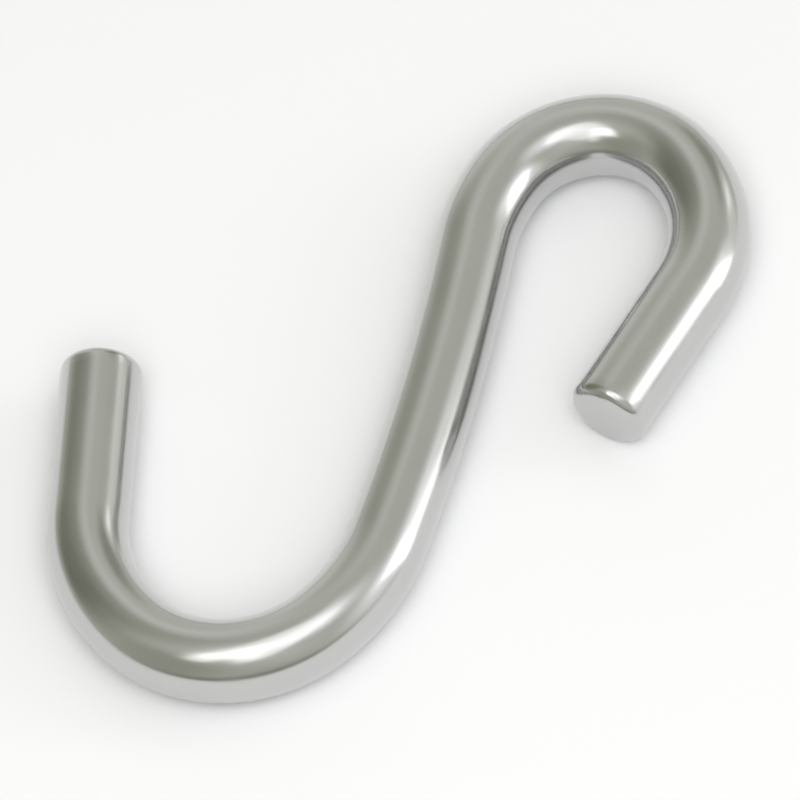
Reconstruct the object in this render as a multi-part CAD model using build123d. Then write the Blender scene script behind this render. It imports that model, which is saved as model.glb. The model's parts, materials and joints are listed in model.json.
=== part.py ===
from build123d import *
import math
import os

# An S hook bent from one round bar. Sizes are in millimetres and degrees.
# The bar runs from the tip of the lower leg, round the lower hook, up the shank and round the
# upper hook, which turns the other way, to the tip of the upper leg. Each hook is three arcs:
# a mouth arc beside its leg, a tight crown, and a shoulder arc that eases into the shank.

# The bar
BAR_DIAMETER = 6.0
TIP_EDGE_RADIUS = 0.8

# The lower, larger hook. Radii are measured to the inside of the bend.
LOWER_LEG_LENGTH = 13.3
LOWER_LEG_OPENS_BY = 15.0
LOWER_MOUTH_RADIUS = 10.7
LOWER_MOUTH_TURN = 47.0
LOWER_CROWN_RADIUS = 6.7
LOWER_SHOULDER_RADIUS = 12.0
LOWER_SHOULDER_TURN = 33.0

# The shank, which is bowed very slightly. Its radius is measured to the bar's centreline.
SHANK_LENGTH = 26.0
SHANK_BOW_RADIUS = 190.0

# The upper, smaller hook. Radii are measured to the inside of the bend.
UPPER_SHOULDER_RADIUS = 12.0
UPPER_SHOULDER_TURN = 24.0
UPPER_CROWN_RADIUS = 4.85
UPPER_MOUTH_RADIUS = 7.6
UPPER_MOUTH_TURN = 67.0
UPPER_LEG_CLOSES_BY = 21.0
UPPER_LEG_LENGTH = 12.2

# A crown takes up the turn that its hook's other two arcs leave. A hook that turns the bar
# by half a circle has its leg parallel to the end of the shank.
BAR_RADIUS = BAR_DIAMETER / 2
LOWER_CROWN_TURN = 180 - LOWER_LEG_OPENS_BY - LOWER_MOUTH_TURN - LOWER_SHOULDER_TURN
UPPER_CROWN_TURN = 180 + UPPER_LEG_CLOSES_BY - UPPER_MOUTH_TURN - UPPER_SHOULDER_TURN
SHANK_BOW_TURN = math.degrees(SHANK_LENGTH / SHANK_BOW_RADIUS)


def arc_after(piece, radius, turn):
    """The arc that carries on smoothly from a piece's end. It turns left for a positive turn."""
    return JernArc(start=piece @ 1, tangent=piece % 1, radius=radius, arc_size=turn)


def bar_centreline():
    """The bar's centreline, flat on the XY plane, and the centres of the lower and upper crowns."""
    lower_leg = Line((0, 0), (LOWER_LEG_LENGTH, 0))
    lower_mouth = arc_after(lower_leg, LOWER_MOUTH_RADIUS + BAR_RADIUS, LOWER_MOUTH_TURN)
    lower_crown = arc_after(lower_mouth, LOWER_CROWN_RADIUS + BAR_RADIUS, LOWER_CROWN_TURN)
    lower_shoulder = arc_after(lower_crown, LOWER_SHOULDER_RADIUS + BAR_RADIUS, LOWER_SHOULDER_TURN)
    shank = arc_after(lower_shoulder, SHANK_BOW_RADIUS, SHANK_BOW_TURN)
    upper_shoulder = arc_after(shank, UPPER_SHOULDER_RADIUS + BAR_RADIUS, -UPPER_SHOULDER_TURN)
    upper_crown = arc_after(upper_shoulder, UPPER_CROWN_RADIUS + BAR_RADIUS, -UPPER_CROWN_TURN)
    upper_mouth = arc_after(upper_crown, UPPER_MOUTH_RADIUS + BAR_RADIUS, -UPPER_MOUTH_TURN)
    upper_leg = Line(upper_mouth @ 1, upper_mouth @ 1 + (upper_mouth % 1) * UPPER_LEG_LENGTH)
    lower_bend = [lower_leg, lower_mouth, lower_crown, lower_shoulder]
    upper_bend = [upper_shoulder, upper_crown, upper_mouth, upper_leg]
    path = Wire(lower_bend + [shank] + upper_bend)
    return path, lower_crown.arc_center, upper_crown.arc_center


def bent_bar(path):
    """The round bar along its centreline, sawn square at both tips, with the sharp edges taken off."""
    section = Plane(origin=path @ 0, z_dir=path % 0) * Circle(BAR_RADIUS)
    bar = sweep(section, path=path)
    tip_edges = bar.faces().filter_by(GeomType.PLANE).edges()
    return fillet(tip_edges, TIP_EDGE_RADIUS)


def s_hook():
    """The hook lying flat: +Y runs from the lower crown's centre to the upper crown's centre,
    and the origin is below the middle of its box, where it touches the surface it lies on."""
    path, lower_centre, upper_centre = bar_centreline()
    load_line = upper_centre - lower_centre
    angle_to_y = 90 - math.degrees(math.atan2(load_line.Y, load_line.X))
    hook = Rot(0, 0, angle_to_y) * bent_bar(path)
    box = hook.bounding_box()
    return Pos(-box.center().X, -box.center().Y, -box.min.Z) * hook


os.makedirs("parts", exist_ok=True)
export_step(s_hook(), "parts/s_hook.step")
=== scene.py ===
"""S hook studio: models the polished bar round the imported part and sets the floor, lights and camera."""

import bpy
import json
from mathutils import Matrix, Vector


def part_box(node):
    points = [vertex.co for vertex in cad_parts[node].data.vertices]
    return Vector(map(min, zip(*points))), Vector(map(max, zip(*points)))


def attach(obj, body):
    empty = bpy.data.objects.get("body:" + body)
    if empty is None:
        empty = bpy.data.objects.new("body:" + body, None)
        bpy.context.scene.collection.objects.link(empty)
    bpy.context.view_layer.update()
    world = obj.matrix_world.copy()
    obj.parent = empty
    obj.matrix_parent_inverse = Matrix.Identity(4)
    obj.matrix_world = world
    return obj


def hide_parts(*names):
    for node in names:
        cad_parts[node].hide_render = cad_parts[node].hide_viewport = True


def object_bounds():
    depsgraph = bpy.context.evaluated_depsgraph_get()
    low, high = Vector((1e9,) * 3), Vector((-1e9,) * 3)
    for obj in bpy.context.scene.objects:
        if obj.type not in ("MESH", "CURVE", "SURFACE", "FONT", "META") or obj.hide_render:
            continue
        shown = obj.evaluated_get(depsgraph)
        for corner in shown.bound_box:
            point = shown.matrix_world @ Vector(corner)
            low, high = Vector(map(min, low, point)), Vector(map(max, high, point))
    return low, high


bl_info = {
    "name": "S Hook Studio",
    "version": (1, 0, 0),
    "blender": (4, 5, 0),
    "location": "View3D > Sidebar > S Hook",
    "description": "Models a polished steel S hook from its bend sizes and sets a small studio round it",
    "category": "Object",
}

import json
import math

import bpy
from mathutils import Matrix, Vector

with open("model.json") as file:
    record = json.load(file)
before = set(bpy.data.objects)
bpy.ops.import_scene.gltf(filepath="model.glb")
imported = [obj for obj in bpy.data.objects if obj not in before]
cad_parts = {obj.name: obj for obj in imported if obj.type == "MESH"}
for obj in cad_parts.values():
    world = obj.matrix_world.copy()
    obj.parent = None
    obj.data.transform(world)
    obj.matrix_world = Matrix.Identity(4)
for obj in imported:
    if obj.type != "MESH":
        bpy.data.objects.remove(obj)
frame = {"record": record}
CAD_LOW, CAD_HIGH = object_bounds()
NODE = frame["record"]["subparts"][0]["node"]
MM = 0.001
# Points nearer than this are merged.
MERGE = 1e-7
# The farthest that the modelled bar's box may be from the CAD bar's box.
FIT = 0.05 * MM


# ---------------------------------------------------------------------------------------------
# Sizes and colours that a user would change
# ---------------------------------------------------------------------------------------------

class HookSizes(bpy.types.PropertyGroup):
    """The bar and its bends. Bend radii are measured to the inside of the bend."""

    bar_diameter: bpy.props.FloatProperty(
        name="Bar diameter", description="Diameter of the round bar",
        default=CAD_HIGH.z - CAD_LOW.z, unit="LENGTH")
    tip_edge: bpy.props.FloatProperty(
        name="Tip edge", description="Radius of the rounded edge round each cut tip",
        default=0.8 * MM, unit="LENGTH")
    lower_leg: bpy.props.FloatProperty(
        name="Lower leg", description="Straight length of the larger hook's leg",
        default=13.3 * MM, unit="LENGTH")
    lower_leg_opens: bpy.props.FloatProperty(
        name="Lower leg opens by", description="Turn by which the larger hook stays open",
        default=math.radians(15), subtype="ANGLE")
    lower_mouth_radius: bpy.props.FloatProperty(
        name="Lower mouth radius", description="Bend radius beside the larger hook's leg",
        default=10.7 * MM, unit="LENGTH")
    lower_mouth_turn: bpy.props.FloatProperty(
        name="Lower mouth turn", description="Turn of the bend beside the larger hook's leg",
        default=math.radians(47), subtype="ANGLE")
    lower_crown_radius: bpy.props.FloatProperty(
        name="Lower crown radius", description="Tightest radius of the larger hook",
        default=6.7 * MM, unit="LENGTH")
    lower_shoulder_radius: bpy.props.FloatProperty(
        name="Lower shoulder radius", description="Bend radius between the larger hook and the shank",
        default=12.0 * MM, unit="LENGTH")
    lower_shoulder_turn: bpy.props.FloatProperty(
        name="Lower shoulder turn", description="Turn between the larger hook and the shank",
        default=math.radians(33), subtype="ANGLE")
    shank: bpy.props.FloatProperty(
        name="Shank", description="Length of the shank between the hooks",
        default=26.0 * MM, unit="LENGTH")
    shank_bow_radius: bpy.props.FloatProperty(
        name="Shank bow radius", description="Centreline radius of the shank's slight bow",
        default=190.0 * MM, unit="LENGTH")
    upper_shoulder_radius: bpy.props.FloatProperty(
        name="Upper shoulder radius", description="Bend radius between the shank and the smaller hook",
        default=12.0 * MM, unit="LENGTH")
    upper_shoulder_turn: bpy.props.FloatProperty(
        name="Upper shoulder turn", description="Turn between the shank and the smaller hook",
        default=math.radians(24), subtype="ANGLE")
    upper_crown_radius: bpy.props.FloatProperty(
        name="Upper crown radius", description="Tightest radius of the smaller hook",
        default=4.85 * MM, unit="LENGTH")
    upper_mouth_radius: bpy.props.FloatProperty(
        name="Upper mouth radius", description="Bend radius beside the smaller hook's leg",
        default=7.6 * MM, unit="LENGTH")
    upper_mouth_turn: bpy.props.FloatProperty(
        name="Upper mouth turn", description="Turn of the bend beside the smaller hook's leg",
        default=math.radians(67), subtype="ANGLE")
    upper_leg_closes: bpy.props.FloatProperty(
        name="Upper leg closes by", description="Turn by which the smaller hook closes past half a circle",
        default=math.radians(21), subtype="ANGLE")
    upper_leg: bpy.props.FloatProperty(
        name="Upper leg", description="Straight length of the smaller hook's leg",
        default=12.2 * MM, unit="LENGTH")
    sides: bpy.props.IntProperty(
        name="Sides", description="Number of faces round the bar", default=96, min=12)
    bend_step: bpy.props.FloatProperty(
        name="Bend step", description="Turn of one face along a bend",
        default=math.radians(1.5), subtype="ANGLE")
    face_length: bpy.props.FloatProperty(
        name="Face length", description="Longest face along the bar",
        default=0.75 * MM, unit="LENGTH")
    edge_segments: bpy.props.IntProperty(
        name="Edge segments", description="Faces across the rounded edge of a tip", default=8, min=1)


class SteelFinish(bpy.types.PropertyGroup):
    """The polished stainless steel."""

    colour: bpy.props.FloatVectorProperty(
        name="Colour", description="Colour of the polished steel", subtype="COLOR",
        default=(0.575, 0.58, 0.575), min=0.0, max=1.0)
    roughness: bpy.props.FloatProperty(
        name="Roughness", description="Roughness of the polish", default=0.18, min=0.0, max=1.0)
    line_depth: bpy.props.FloatProperty(
        name="Line depth", description="Depth of the fine lines that drawing leaves along the bar",
        default=0.0012 * MM, unit="LENGTH")


class StudioSettings(bpy.types.PropertyGroup):
    """Floor, lights and camera."""

    azimuth: bpy.props.FloatProperty(
        name="Azimuth", description="Camera's turn round the hook, from looking along +Y",
        default=math.radians(57.16), subtype="ANGLE")
    elevation: bpy.props.FloatProperty(
        name="Elevation", description="Camera's angle above the floor",
        default=math.radians(54.09), subtype="ANGLE")
    roll: bpy.props.FloatProperty(
        name="Roll", description="Camera's tilt about its own line of sight",
        default=math.radians(14.62), subtype="ANGLE")
    distance: bpy.props.FloatProperty(
        name="Distance", description="Camera's distance from the point it looks at",
        default=0.618, unit="LENGTH")
    lens: bpy.props.FloatProperty(
        name="Lens", description="Camera's focal length in millimetres", default=386.0)
    look_at: bpy.props.FloatVectorProperty(
        name="Look at", description="Point that the camera looks at, from the middle of the hook",
        default=(2.8 * MM, -0.95 * MM, 0.0), subtype="XYZ", unit="LENGTH")
    floor_colour: bpy.props.FloatVectorProperty(
        name="Floor colour", description="Colour of the plain pale floor", subtype="COLOR",
        default=(0.9, 0.9, 0.93), min=0.0, max=1.0)
    floor_size: bpy.props.FloatProperty(
        name="Floor size", description="Side of the square floor", default=4.0, unit="LENGTH")
    room_level: bpy.props.FloatProperty(
        name="Room level", description="Brightness of the plain studio room", default=0.62)
    room_colour: bpy.props.FloatVectorProperty(
        name="Room colour", description="Colour of the studio room's walls", subtype="COLOR",
        default=(1.0, 1.0, 1.0), min=0.0, max=1.0)
    shade_colour: bpy.props.FloatVectorProperty(
        name="Shade colour", description="Colour of the room where it is darkest", subtype="COLOR",
        default=(1.0, 1.0, 0.74), min=0.0, max=1.0)
    fill_level: bpy.props.FloatProperty(
        name="Fill level", description="Brightness of the wide soft light above, which the steel "
        "doesn't reflect", default=2.7)


# ---------------------------------------------------------------------------------------------
# The bent bar
# ---------------------------------------------------------------------------------------------

LOWER_CROWN, UPPER_CROWN = 2, 6


def bend_plan(sizes):
    """The bar's pieces from the lower tip to the upper tip, as (length, turn). A straight piece's turn
    is 0, and a positive turn is to the left, seen from above."""
    half_bar = sizes.bar_diameter / 2
    lower_crown_turn = (
        math.pi - sizes.lower_leg_opens - sizes.lower_mouth_turn - sizes.lower_shoulder_turn)
    upper_crown_turn = (
        math.pi + sizes.upper_leg_closes - sizes.upper_mouth_turn - sizes.upper_shoulder_turn)

    def bend(inside_radius, turn):
        return (inside_radius + half_bar) * abs(turn), turn

    return [
        (sizes.lower_leg, 0.0),
        bend(sizes.lower_mouth_radius, sizes.lower_mouth_turn),
        bend(sizes.lower_crown_radius, lower_crown_turn),
        bend(sizes.lower_shoulder_radius, sizes.lower_shoulder_turn),
        (sizes.shank, sizes.shank / sizes.shank_bow_radius),
        bend(sizes.upper_shoulder_radius, -sizes.upper_shoulder_turn),
        bend(sizes.upper_crown_radius, -upper_crown_turn),
        bend(sizes.upper_mouth_radius, -sizes.upper_mouth_turn),
        (sizes.upper_leg, 0.0),
    ]


def flat_turn(angle):
    return Matrix.Rotation(angle, 3, "Z")


def walk(plan, heading=0.0):
    """Each piece of the plan as its start, its heading there, length, turn and the centre of its bend."""
    place = Vector((0.0, 0.0, 0.0))
    steps = []
    for length, turn in plan:
        ahead = flat_turn(heading) @ Vector((1.0, 0.0, 0.0))
        centre = None
        if turn:
            centre = place + flat_turn(math.pi / 2) @ ahead * (length / turn)
        steps.append((place, heading, length, turn, centre))
        if turn:
            place = centre + flat_turn(turn) @ (place - centre)
            heading += turn
        else:
            place = place + ahead * length
    return steps


def tip_centres(steps):
    """The middles of the two cut faces."""
    place, heading, length = steps[-1][:3]
    return [steps[0][0], place + flat_turn(heading) @ Vector((length, 0.0, 0.0))]


def heading_with_hook_upright(plan):
    """The first heading for which the two crowns' centres lie along +Y."""
    steps = walk(plan)
    load_line = steps[UPPER_CROWN][4] - steps[LOWER_CROWN][4]
    return math.pi / 2 - math.atan2(load_line.y, load_line.x)


def start_edit(piece, mode):
    """Goes into edit mode on one piece with nothing selected in it."""
    bpy.ops.object.select_all(action="DESELECT")
    piece.select_set(True)
    bpy.context.view_layer.objects.active = piece
    bpy.ops.object.mode_set(mode="EDIT")
    bpy.ops.mesh.select_mode(type=mode)
    bpy.ops.mesh.select_all(action="DESELECT")


def end_edit():
    bpy.ops.object.mode_set(mode="OBJECT")


def draw_out_bar(sizes, steps):
    """A ring of the bar's section, drawn out along each straight and spun round each bend."""
    radius = sizes.bar_diameter / 2
    bpy.ops.object.select_all(action="DESELECT")
    bpy.ops.mesh.primitive_circle_add(
        vertices=sizes.sides, radius=radius, fill_type="NOTHING",
        rotation=(0.0, math.pi / 2, steps[0][1]))
    bar = bpy.context.active_object
    bar.name = bar.data.name = "polished_bar"
    bpy.ops.object.transform_apply(location=True, rotation=True, scale=True)
    start_edit(bar, "EDGE")
    bpy.ops.mesh.select_all(action="SELECT")
    for place, heading, length, turn, centre in steps:
        if turn:
            count = max(round(abs(turn) / sizes.bend_step), round(length / sizes.face_length))
            bpy.ops.mesh.spin(
                steps=count, angle=-abs(turn), center=centre, axis=(0.0, 0.0, math.copysign(1.0, turn)))
        else:
            count = max(2, round(length / sizes.face_length / 2))
            stride = flat_turn(heading) @ Vector((length / count, 0.0, 0.0))
            for _ in range(count):
                bpy.ops.mesh.extrude_region_move(TRANSFORM_OT_translate={"value": stride})
    end_edit()
    return bar


def round_tips(bar, sizes, steps):
    """Closes both open ends with a flat face, rounds its edge, and gives the flat a narrow margin so
    that it stays flat up to the rounding when the bar is shaded smooth."""
    start_edit(bar, "EDGE")
    bpy.ops.mesh.select_non_manifold(
        extend=False, use_wire=False, use_boundary=True,
        use_multi_face=False, use_non_contiguous=False, use_verts=False)
    bpy.ops.mesh.edge_face_add()
    bpy.ops.mesh.bevel(
        offset_type="OFFSET", offset=sizes.tip_edge, segments=sizes.edge_segments, profile=0.5,
        affect="EDGES", clamp_overlap=False)
    end_edit()
    start_edit(bar, "FACE")
    end_edit()
    tips = tip_centres(steps)
    for face in bar.data.polygons:
        face.select = any((face.center - tip).length < sizes.tip_edge / 4 for tip in tips)
    bpy.ops.object.mode_set(mode="EDIT")
    margin = sizes.tip_edge / 8
    ring = sizes.bar_diameter / 8
    for thickness in (margin, ring, ring):
        bpy.ops.mesh.inset(thickness=thickness, use_individual=True)
    bpy.ops.mesh.poke()
    bpy.ops.mesh.select_all(action="SELECT")
    bpy.ops.mesh.remove_doubles(threshold=MERGE)
    bpy.ops.mesh.normals_make_consistent(inside=False)
    end_edit()


def box_of(bar):
    """The lowest and the highest corner of the bar's box."""
    corners = [vertex.co for vertex in bar.data.vertices]
    return [Vector([end(corner[k] for corner in corners) for k in range(3)]) for end in (min, max)]


def lay_on_frame(bar):
    """Moves the bar to where the CAD bar lies."""
    low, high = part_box(NODE)
    bar_low, bar_high = box_of(bar)
    shift = (low + high) / 2 - (bar_low + bar_high) / 2
    start_edit(bar, "VERT")
    bpy.ops.mesh.select_all(action="SELECT")
    bpy.ops.transform.translate(value=shift)
    end_edit()
    return shift


def check_bar(bar):
    """Stops the build if the bar has a gap in its surface or isn't the size of the CAD bar."""
    start_edit(bar, "EDGE")
    bpy.ops.mesh.select_non_manifold()
    end_edit()
    if any(edge.select for edge in bar.data.edges):
        raise RuntimeError("the bar's surface isn't closed")
    for wanted, found in zip(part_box(NODE), box_of(bar)):
        if any(abs(found[k] - wanted[k]) > FIT for k in range(3)):
            raise RuntimeError("the bar's bends don't give the CAD bar's size")


def mark_place_on_bar(bar, steps, shift):
    """Stores each point's place on the bar: how far along it is, and where it is across the section.
    The steel's drawn lines follow it round the bends."""
    places = []
    for vertex in bar.data.vertices:
        point = vertex.co - shift
        best = None
        along = 0.0
        for place, heading, length, turn, centre in steps:
            if turn:
                arm = point - centre
                start_arm = place - centre
                swept = math.atan2(start_arm.cross(arm).z, start_arm.dot(arm)) * math.copysign(1.0, turn)
                share = min(max(swept / abs(turn), 0.0), 1.0)
                foot = centre + flat_turn(turn * share) @ start_arm
                facing = heading + turn * share
            else:
                ahead = flat_turn(heading) @ Vector((1.0, 0.0, 0.0))
                share = min(max((point - place).dot(ahead) / length, 0.0), 1.0)
                foot = place + ahead * (length * share)
                facing = heading
            gap = (point - foot).length
            if best is None or gap < best[0] - 1e-9:
                side = flat_turn(facing) @ Vector((0.0, 1.0, 0.0))
                best = (gap, (along + length * share, (point - foot).dot(side), point.z))
            along += length
        places.extend(best[1])
    marks = bar.data.attributes.new("place_on_bar", "FLOAT_VECTOR", "POINT")
    marks.data.foreach_set("vector", places)


# ---------------------------------------------------------------------------------------------
# The steel
# ---------------------------------------------------------------------------------------------

class Nodes:
    """Adds nodes to a tree and joins them, left to right."""

    def __init__(self, tree):
        self.tree = tree
        tree.nodes.clear()

    def add(self, kind, label="", **settings):
        node = self.tree.nodes.new(kind)
        node.label = label
        for name, value in settings.items():
            setattr(node, name, value)
        return node

    def join(self, output, socket):
        self.tree.links.new(output, socket)


# How the steel's marks are stretched along the bar, and across a cut face: along, sideways and up.
DRAWN_STRETCH = (0.02, 1.0, 1.0)
GROUND_STRETCH = (0.0, 0.04, 1.0)
LINES_PER_METRE = 6000.0
HAZE_PER_METRE = 260.0
CUT_FACE_DEPTH = 0.02 * MM


def polished_steel(finish, bar_length):
    """Polished stainless steel: a clear mirror with fine lines drawn along the bar, a slight haze that
    comes and goes, and faint ground marks across the two cut faces."""
    material = bpy.data.materials.new("polished_steel")
    material.use_nodes = True
    nodes = Nodes(material.node_tree)
    output = nodes.add("ShaderNodeOutputMaterial")
    shader = nodes.add("ShaderNodeBsdfPrincipled", "Steel")
    shader.inputs["Metallic"].default_value = 1.0
    nodes.join(shader.outputs["BSDF"], output.inputs["Surface"])

    place = nodes.add("ShaderNodeAttribute", "Place on the bar", attribute_name="place_on_bar")
    stretch = nodes.add("ShaderNodeVectorMath", "Stretch along the bar", operation="MULTIPLY")
    stretch.inputs[1].default_value = DRAWN_STRETCH
    nodes.join(place.outputs["Vector"], stretch.inputs[0])
    across = nodes.add("ShaderNodeVectorMath", "Stretch across the cut face", operation="MULTIPLY")
    across.inputs[1].default_value = GROUND_STRETCH
    nodes.join(place.outputs["Vector"], across.inputs[0])

    along = nodes.add("ShaderNodeSeparateXYZ", "Along the bar")
    nodes.join(place.outputs["Vector"], along.inputs["Vector"])
    from_middle = nodes.add("ShaderNodeMath", "From the middle", operation="SUBTRACT")
    from_middle.inputs[1].default_value = bar_length / 2
    nodes.join(along.outputs["X"], from_middle.inputs[0])
    either_way = nodes.add("ShaderNodeMath", "Either way", operation="ABSOLUTE")
    nodes.join(from_middle.outputs["Value"], either_way.inputs[0])
    cut_face = nodes.add("ShaderNodeMath", "Cut face", operation="GREATER_THAN")
    cut_face.inputs[1].default_value = bar_length / 2 - CUT_FACE_DEPTH
    nodes.join(either_way.outputs["Value"], cut_face.inputs[0])
    grain = nodes.add("ShaderNodeMix", "Which way the marks run", data_type="VECTOR")
    nodes.join(cut_face.outputs["Value"], grain.inputs["Factor"])
    nodes.join(stretch.outputs["Vector"], grain.inputs["A"])
    nodes.join(across.outputs["Vector"], grain.inputs["B"])

    lines = nodes.add("ShaderNodeTexNoise", "Drawn lines and ground marks")
    lines.inputs["Scale"].default_value = LINES_PER_METRE
    lines.inputs["Detail"].default_value = 3.0
    nodes.join(grain.outputs["Result"], lines.inputs["Vector"])

    haze = nodes.add("ShaderNodeTexNoise", "Haze")
    haze.inputs["Scale"].default_value = HAZE_PER_METRE
    haze.inputs["Detail"].default_value = 4.0
    nodes.join(place.outputs["Vector"], haze.inputs["Vector"])

    rough = nodes.add("ShaderNodeMapRange", "Roughness")
    rough.inputs["From Min"].default_value = 0.3
    rough.inputs["From Max"].default_value = 0.7
    rough.inputs["To Min"].default_value = finish.roughness * 0.85
    rough.inputs["To Max"].default_value = finish.roughness * 1.2
    nodes.join(haze.outputs["Fac"], rough.inputs["Value"])
    nodes.join(rough.outputs["Result"], shader.inputs["Roughness"])

    tone = nodes.add("ShaderNodeMix", "Tone", data_type="RGBA")
    tone.inputs["A"].default_value = (*[part * 0.97 for part in finish.colour], 1.0)
    tone.inputs["B"].default_value = (*[min(part * 1.02, 1.0) for part in finish.colour], 1.0)
    nodes.join(haze.outputs["Fac"], tone.inputs["Factor"])
    nodes.join(tone.outputs["Result"], shader.inputs["Base Color"])

    bump = nodes.add("ShaderNodeBump", "Line relief")
    bump.inputs["Distance"].default_value = finish.line_depth
    bump.inputs["Strength"].default_value = 0.3
    nodes.join(lines.outputs["Fac"], bump.inputs["Height"])
    nodes.join(bump.outputs["Normal"], shader.inputs["Normal"])
    return material


def plain_floor(settings):
    material = bpy.data.materials.new("plain_floor")
    material.use_nodes = True
    nodes = Nodes(material.node_tree)
    output = nodes.add("ShaderNodeOutputMaterial")
    shader = nodes.add("ShaderNodeBsdfPrincipled", "Paint")
    shader.inputs["Base Color"].default_value = (*settings.floor_colour, 1.0)
    shader.inputs["Roughness"].default_value = 0.9
    shader.inputs["Specular IOR Level"].default_value = 0.2
    nodes.join(shader.outputs["BSDF"], output.inputs["Surface"])
    return material


# ---------------------------------------------------------------------------------------------
# The studio
# ---------------------------------------------------------------------------------------------

def toward(azimuth, elevation):
    """The direction at an azimuth from +X towards +Y, and an elevation above the floor, in degrees."""
    flat = math.cos(math.radians(elevation))
    return Vector((flat * math.cos(math.radians(azimuth)), flat * math.sin(math.radians(azimuth)),
                   math.sin(math.radians(elevation))))


# The numbers in the two tables below weren't chosen by eye. A fitting program worked most of them out
# from the reflections wanted in the bar, and they were then adjusted and rounded.

# Soft patches on the room's walls and ceiling: azimuth, elevation, half width, half height and roll in
# degrees, and how much brighter or darker than the plain room the patch is.
ROOM_PATCHES = [
    ("dark_curtain", 195, 35, 25, 40, 30, -0.45),
    ("dark_doorway", 105, 25, 15, 15, 0, -0.3),
    ("dim_wall", 265, 30, 30, 50, -15, -0.15),
    ("dark_skirting", 320, 4, 50, 7, 0, -0.3),
    ("bright_wall", 40, 20, 20, 27, -45, 0.5),
    ("pale_wall", 160, 50, 20, 30, 20, 0.15),
    ("pale_corner", 160, 10, 12, 15, 0, 0.1),
    ("pale_panel", 145, 50, 10, 15, 20, 0.1),
    ("pale_cornice", 320, 45, 15, 30, 55, 0.1),
    ("pale_ceiling", 280, 75, 70, 20, 0, 0.1),
    ("bright_ceiling", 10, 70, 25, 16, -40, 0.5),
    ("bright_corner", 50, 28, 12, 17, 85, 0.35),
]

# Lamps: azimuth and elevation in degrees, distance, width and height in metres, roll in degrees, and
# brightness.
LAMPS = [
    ("side_softbox", 50, 12, 0.5, 0.15, 0.35, 15, 1.5),
    ("small_lamp", 80, 14, 0.5, 0.35, 0.17, 25, 0.3),
    ("small_lamp_core", 88, 18, 0.5, 0.09, 0.08, 0, 0.6),
    ("ceiling_strip", 20, 68, 0.2, 0.13, 0.03, 65, 0.3),
    ("ceiling_panel", -37, 71, 0.24, 0.18, 0.16, 50, 0.65),
    ("near_strip", -55, 58, 0.155, 0.1, 0.03, 105, 0.7),
    ("low_panel", -80, 60, 0.5, 0.1, 0.2, 0, 1.0),
]


# The wide soft light above, which the steel doesn't reflect: the same values, without its brightness.
FILL = ("fill", -33, 54, 1.0, 0.7, 0.7, 0)

# How much paler the room gets towards +X, +Y and the ceiling.
PALER_TOWARDS = (-0.045, 0.045, -0.035)
DARKEST_LEVEL = 0.05
# A patch is whole out to the first share of its half width and half height, and gone at the second.
PATCH_WHOLE, PATCH_GONE = 0.4, 1.4
# Flattens a patch's depth, so that only its width and height bound it.
PATCH_DEPTH = 10.0


def paint_room(settings):
    """The plain room, a little paler on one side than on the other, with its soft patches."""
    world = bpy.data.worlds.new("studio_room")
    bpy.context.scene.world = world
    world.use_nodes = True
    nodes = Nodes(world.node_tree)
    output = nodes.add("ShaderNodeOutputWorld")
    background = nodes.add("ShaderNodeBackground", "Room")
    nodes.join(background.outputs["Background"], output.inputs["Surface"])
    direction = nodes.add("ShaderNodeTexCoord", "Direction").outputs["Generated"]
    slope = nodes.add("ShaderNodeVectorMath", "Paler side", operation="DOT_PRODUCT")
    slope.inputs[1].default_value = PALER_TOWARDS
    nodes.join(direction, slope.inputs[0])
    plain = nodes.add("ShaderNodeMath", "Plain room", operation="ADD")
    plain.inputs[1].default_value = settings.room_level
    nodes.join(slope.outputs["Value"], plain.inputs[0])
    level = plain.outputs["Value"]
    for name, azimuth, elevation, half_width, half_height, roll, difference in ROOM_PATCHES:
        placed = nodes.add("ShaderNodeMapping", name, vector_type="TEXTURE")
        placed.inputs["Location"].default_value = toward(azimuth, elevation)
        placed.inputs["Rotation"].default_value = (
            math.radians(roll), -math.radians(elevation), math.radians(azimuth))
        placed.inputs["Scale"].default_value = (
            PATCH_DEPTH, math.radians(half_width), math.radians(half_height))
        nodes.join(direction, placed.inputs["Vector"])
        far = nodes.add("ShaderNodeVectorMath", name, operation="LENGTH")
        nodes.join(placed.outputs["Vector"], far.inputs[0])
        share = nodes.add("ShaderNodeMapRange", name, interpolation_type="SMOOTHSTEP")
        share.inputs["From Min"].default_value = PATCH_WHOLE
        share.inputs["From Max"].default_value = PATCH_GONE
        share.inputs["To Min"].default_value = difference
        share.inputs["To Max"].default_value = 0.0
        nodes.join(far.outputs["Value"], share.inputs["Value"])
        both = nodes.add("ShaderNodeMath", name, operation="ADD")
        nodes.join(level, both.inputs[0])
        nodes.join(share.outputs["Result"], both.inputs[1])
        level = both.outputs["Value"]
    strength = nodes.add("ShaderNodeMath", "Never quite dark", operation="MAXIMUM")
    strength.inputs[1].default_value = DARKEST_LEVEL
    nodes.join(level, strength.inputs[0])
    nodes.join(strength.outputs["Value"], background.inputs["Strength"])
    tint = nodes.add("ShaderNodeMix", "Shade to wall", data_type="RGBA")
    tint.inputs["A"].default_value = (*settings.shade_colour, 1.0)
    tint.inputs["B"].default_value = (*settings.room_colour, 1.0)
    nodes.join(strength.outputs["Value"], tint.inputs["Factor"])
    nodes.join(tint.outputs["Result"], background.inputs["Color"])


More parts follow.
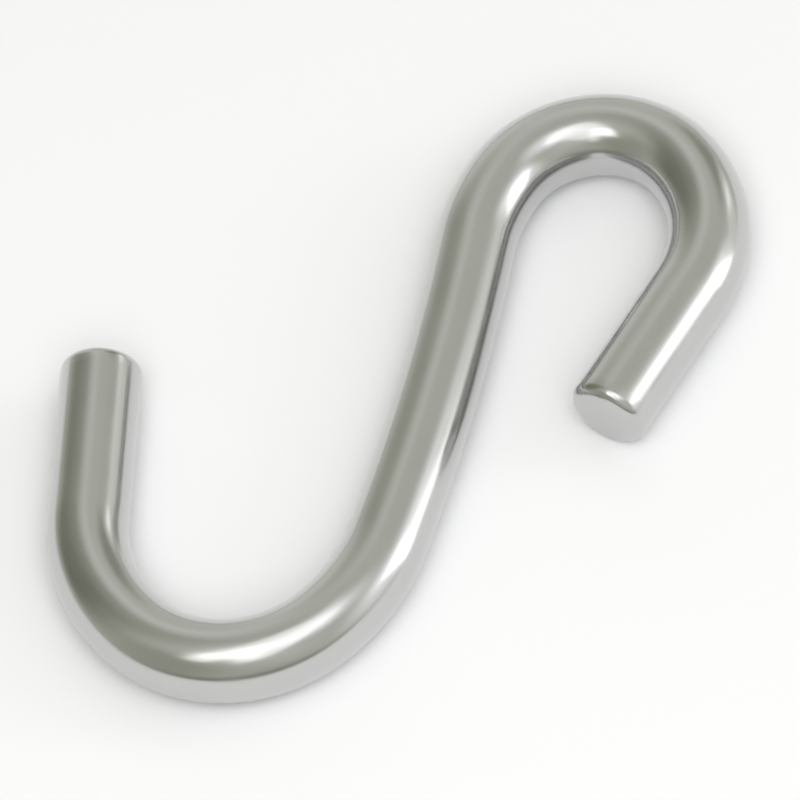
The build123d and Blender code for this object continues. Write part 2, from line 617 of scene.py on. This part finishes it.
def hang_lamp(name, azimuth, elevation, distance, width, height, roll, brightness, centre):
    """One soft lamp that faces the hook. It lights and is reflected, and the camera doesn't see it."""
    place = centre + toward(azimuth, elevation) * distance
    bpy.ops.object.light_add(type="AREA", location=place)
    lamp = bpy.context.active_object
    lamp.name = lamp.data.name = name
    lamp.rotation_euler = ((place - centre).to_track_quat("Z", "Y").to_matrix()
                           @ Matrix.Rotation(math.radians(roll), 3, "Z")).to_euler()
    lamp.data.shape = "RECTANGLE"
    lamp.data.size = width
    lamp.data.size_y = height
    lamp.data.energy = brightness * math.pi * width * height
    lamp.visible_camera = False
    return lamp


def aim_camera(settings, centre):
    flat = math.cos(settings.elevation)
    back = Vector((math.sin(settings.azimuth) * flat, -math.cos(settings.azimuth) * flat,
                   math.sin(settings.elevation)))
    right = Vector((math.cos(settings.azimuth), math.sin(settings.azimuth), 0.0))
    up = back.cross(right)
    target = centre + Vector(settings.look_at)
    bpy.ops.object.camera_add(location=target + back * settings.distance)
    camera = bpy.context.active_object
    camera.name = camera.data.name = "camera"
    level = Matrix((right, up, back)).transposed()
    camera.rotation_euler = (level @ Matrix.Rotation(-settings.roll, 3, "Z")).to_euler()
    camera.data.lens = settings.lens
    camera.data.sensor_width = 36.0
    camera.data.clip_start = 0.01
    bpy.context.scene.camera = camera


class MakeHook(bpy.types.Operator):
    """Models the S hook's polished bar in place of the plain CAD bar"""

    bl_idname = "s_hook.make_hook"
    bl_label = "Make the hook"

    def execute(self, context):
        sizes = context.scene.hook_sizes
        plan = bend_plan(sizes)
        steps = walk(plan, heading_with_hook_upright(plan))
        bar = draw_out_bar(sizes, steps)
        round_tips(bar, sizes, steps)
        shift = lay_on_frame(bar)
        check_bar(bar)
        mark_place_on_bar(bar, steps, shift)
        bpy.ops.object.shade_smooth()
        bar_length = sum(length for length, turn in plan)
        bar.data.materials.append(polished_steel(context.scene.steel_finish, bar_length))
        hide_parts(NODE)
        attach(bar, "root")
        return {"FINISHED"}


class SetStudio(bpy.types.Operator):
    """Sets the pale floor, the grey room, the soft lamps and the camera"""

    bl_idname = "s_hook.set_studio"
    bl_label = "Set the studio"

    def execute(self, context):
        settings = context.scene.studio_settings
        centre = (CAD_LOW + CAD_HIGH) / 2
        bpy.ops.object.select_all(action="DESELECT")
        bpy.ops.mesh.primitive_plane_add(size=settings.floor_size, location=(centre.x, centre.y, CAD_LOW.z))
        floor = context.active_object
        floor.name = floor.data.name = "floor"
        floor.data.materials.append(plain_floor(settings))
        paint_room(settings)
        for lamp in LAMPS:
            hang_lamp(*lamp, centre)
        fill = hang_lamp(*FILL, settings.fill_level, centre)
        fill.visible_glossy = False
        aim_camera(settings, centre)
        context.scene.view_settings.view_transform = "Standard"
        if context.scene.camera is None or context.scene.world is None:
            raise RuntimeError("the studio has no camera or no room")
        return {"FINISHED"}


class HookPanel(bpy.types.Panel):
    """The hook's sizes, finish and studio, with a button for each step"""

    bl_idname = "VIEW3D_PT_s_hook"
    bl_label = "S Hook"
    bl_space_type = "VIEW_3D"
    bl_region_type = "UI"
    bl_category = "S Hook"

    def draw(self, context):
        layout = self.layout
        groups = [
            (context.scene.hook_sizes, "s_hook.make_hook"),
            (context.scene.steel_finish, None),
            (context.scene.studio_settings, "s_hook.set_studio"),
        ]
        for group, button in groups:
            box = layout.box()
            for name in group.__annotations__:
                box.prop(group, name)
            if button:
                box.operator(button)


CLASSES = (HookSizes, SteelFinish, StudioSettings, MakeHook, SetStudio, HookPanel)


def register():
    for cls in CLASSES:
        bpy.utils.register_class(cls)
    bpy.types.Scene.hook_sizes = bpy.props.PointerProperty(type=HookSizes)
    bpy.types.Scene.steel_finish = bpy.props.PointerProperty(type=SteelFinish)
    bpy.types.Scene.studio_settings = bpy.props.PointerProperty(type=StudioSettings)


def unregister():
    del bpy.types.Scene.studio_settings
    del bpy.types.Scene.steel_finish
    del bpy.types.Scene.hook_sizes
    for cls in reversed(CLASSES):
        bpy.utils.unregister_class(cls)


def main():
    register()
    bpy.ops.s_hook.make_hook()
    bpy.ops.s_hook.set_studio()


if __name__ == "__main__":
    main()
